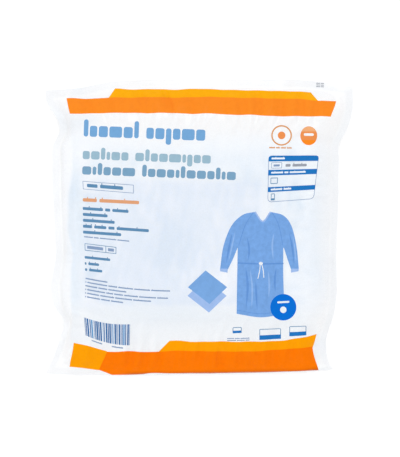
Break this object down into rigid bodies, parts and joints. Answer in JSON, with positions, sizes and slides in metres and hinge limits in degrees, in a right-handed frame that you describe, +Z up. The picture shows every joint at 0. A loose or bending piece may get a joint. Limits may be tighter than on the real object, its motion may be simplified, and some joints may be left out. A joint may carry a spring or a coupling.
{
  "type": "sealed pouch with folded surgical gown",
  "caption": "Folded surgical gown sealed in a flat pouch of white film that lies on its back, with a printed front, welded edges and flared corners.",
  "frame": {"origin": "centre of the pouch's underside, on the table it lies on", "axes": "+X to the pouch's right and +Y to its top, as its printed front is read; +Z up, out of that front"},
  "size_m": [0.3092, 0.2973, 0.0293],
  "materials": {
    "printed_film": "thin white film, slightly translucent and satin, printed with two-tone orange bands",
    "plain_film": "thin white film, slightly translucent and satin, not printed",
    "gown_cloth": "matt blue nonwoven cloth"
  },
  "bodies": {
    "root": {"film_front": "printed_film", "film_back": "plain_film", "gown_layers": "gown_cloth", "gown_top_fold": "gown_cloth"}
  },
  "joints": []
}
